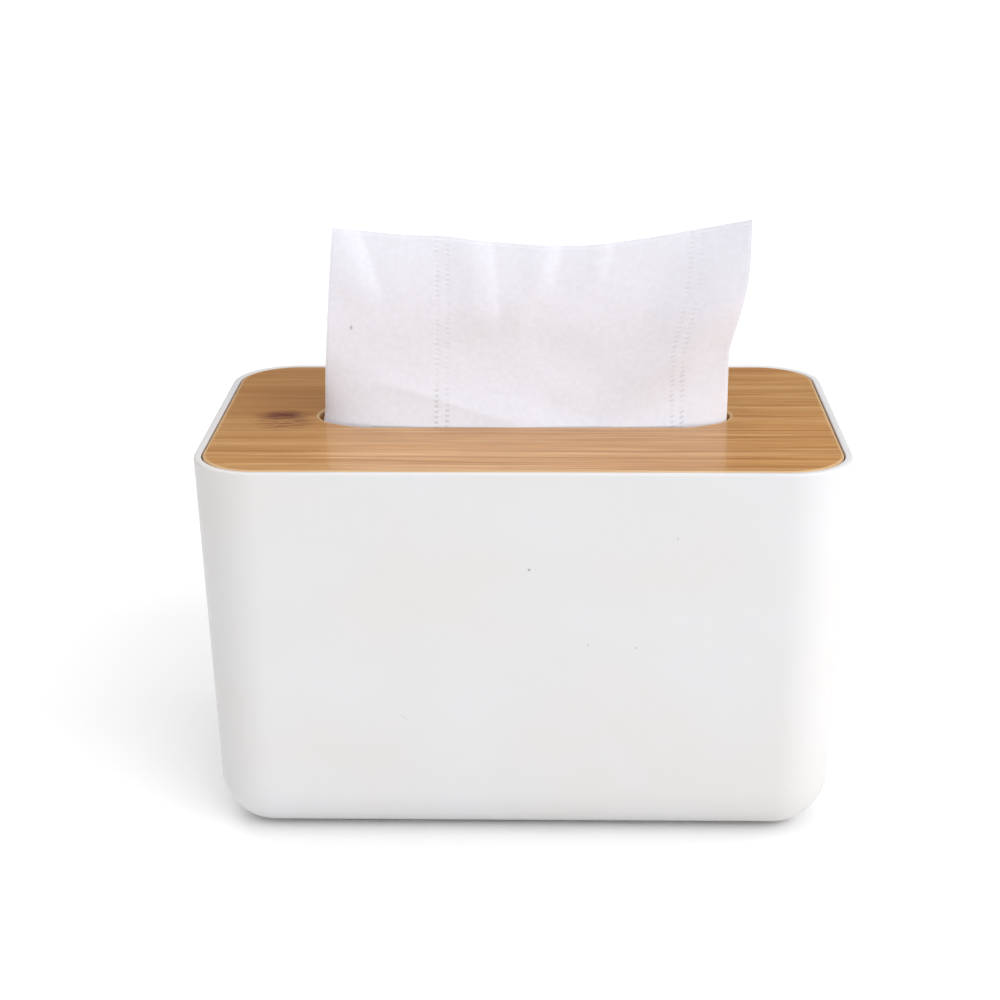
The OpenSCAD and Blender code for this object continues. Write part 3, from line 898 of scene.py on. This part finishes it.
class TOWELBOX_OT_stage(bpy.types.Operator):
    """Makes the floor, the lights and the camera"""
    bl_idname = "towelbox.stage"
    bl_label = "Stage"

    def execute(self, context):
        s = context.scene.towel_box_stage
        scene = context.scene
        # A round floor that ends far outside the picture, just under the base so that they don't meet.
        radius, sides, height = 30, 64, -0.05 * MM
        turns = [math.tau * k / sides for k in range(sides)]
        ring = [(radius * math.cos(turn), radius * math.sin(turn), height) for turn in turns]
        floor = piece("floor_paper", ring, [tuple(range(sides))], paper_floor(s))

        world = bpy.data.worlds.new("Studio_dome")
        world.use_nodes = True
        tree = world.node_tree
        tree.nodes.clear()
        # Bright overhead and dim at the sides, so that the lid's lacquer mirrors the tissue and no sky.
        direction = add(tree, "ShaderNodeTexCoord").outputs["Generated"]
        height = add(tree, "ShaderNodeSeparateXYZ", {"Vector": direction}).outputs["Z"]
        glow = between(tree, height, 0.40, 0.72, s.horizon, s.dome)
        dome = add(tree, "ShaderNodeBackground", {"Color": (1, 1, 1, 1), "Strength": glow})
        add(tree, "ShaderNodeOutputWorld", {"Surface": dome.outputs["Background"]})
        scene.world = world

        key = bpy.data.lights.new("Key_right", "AREA")
        key.shape, key.size, key.size_y, key.energy = "RECTANGLE", 0.9, 0.8, s.key
        lights = [(key, (0.95, -0.12, 0.50))]
        for name, degrees, energy, place in (
            ("Broad_front", 50, s.front, (1.00, -1.30, 0.92)),
            ("Soft_back", 40, s.back, (-0.40, 0.60, 1.20)),
            ("Soft_left", 50, s.left, (-1.60, -0.20, 0.60)),
        ):
            sun = bpy.data.lights.new(name, "SUN")
            sun.angle, sun.energy = math.radians(degrees), energy
            lights.append((sun, place))
        aim = Vector((0, 0, 0.08))
        for light, place in lights:
            lamp = bpy.data.objects.new(light.name, light)
            lamp.location = place
            lamp.rotation_euler = (aim - Vector(place)).to_track_quat("-Z", "Y").to_euler()
            # A touch cool, as daylight is.
            light.color = (0.975, 0.985, 1.0)
            scene.collection.objects.link(lamp)

        # The camera that took the photograph, found from the rim, the lid and the body. Its focal length is
        # a share of the picture's width.
        focal, place = 2.06459, (0.010374, -0.670845, 0.325825)
        pitch, yaw, roll = math.radians(18.786), math.radians(1.601), math.radians(-0.409)
        level = Matrix.Rotation(yaw, 4, "Z") @ Matrix.Rotation(math.pi / 2 - pitch, 4, "X")
        camera = bpy.data.objects.new("Camera", bpy.data.cameras.new("Camera"))
        camera.data.sensor_width = 36
        camera.data.lens = camera.data.sensor_width * focal
        camera.data.clip_start = 0.01
        camera.matrix_world = Matrix.Translation(place) @ level @ Matrix.Rotation(roll, 4, "Z")
        scene.collection.objects.link(camera)
        scene.camera = camera
        scene.view_settings.view_transform = "Standard"
        return {"FINISHED"}


class TOWELBOX_PT_panel(bpy.types.Panel):
    """Lists the pieces of the paper towel box with their sizes and colours"""
    bl_idname = "TOWELBOX_PT_panel"
    bl_label = "Paper Towel Box"
    bl_space_type = "VIEW_3D"
    bl_region_type = "UI"
    bl_category = "Towel Box"

    def draw(self, context):
        for operator, where, group in PARTS:
            box = self.layout.box()
            box.operator(operator.bl_idname)
            if group:
                settings = getattr(context.scene, where)
                for name in settings.bl_rna.properties.keys():
                    if name not in ("rna_type", "name"):
                        box.prop(settings, name)


# Each operator, with the settings that the panel shows under it: where the scene keeps them, and their group.
# The pack has the pulled tissue's.
PARTS = (
    (TOWELBOX_OT_tub, "towel_box_tub", TowelBoxTub),
    (TOWELBOX_OT_lid, "towel_box_lid", TowelBoxLid),
    (TOWELBOX_OT_pack, None, None),
    (TOWELBOX_OT_pulled_tissue, "towel_box_tissue", TowelBoxTissue),
    (TOWELBOX_OT_stage, "towel_box_stage", TowelBoxStage),
)


def register():
    for operator, where, group in PARTS:
        bpy.utils.register_class(operator)
        if group:
            bpy.utils.register_class(group)
            setattr(bpy.types.Scene, where, PointerProperty(type=group))
    bpy.utils.register_class(TOWELBOX_PT_panel)


def unregister():
    bpy.utils.unregister_class(TOWELBOX_PT_panel)
    for operator, where, group in reversed(PARTS):
        if group:
            delattr(bpy.types.Scene, where)
            bpy.utils.unregister_class(group)
        bpy.utils.unregister_class(operator)


def main():
    register()
    bpy.ops.towelbox.tub()
    bpy.ops.towelbox.lid()
    bpy.ops.towelbox.pack()
    bpy.ops.towelbox.pulled_tissue()
    bpy.ops.towelbox.stage()


if __name__ == "__main__":
    main()
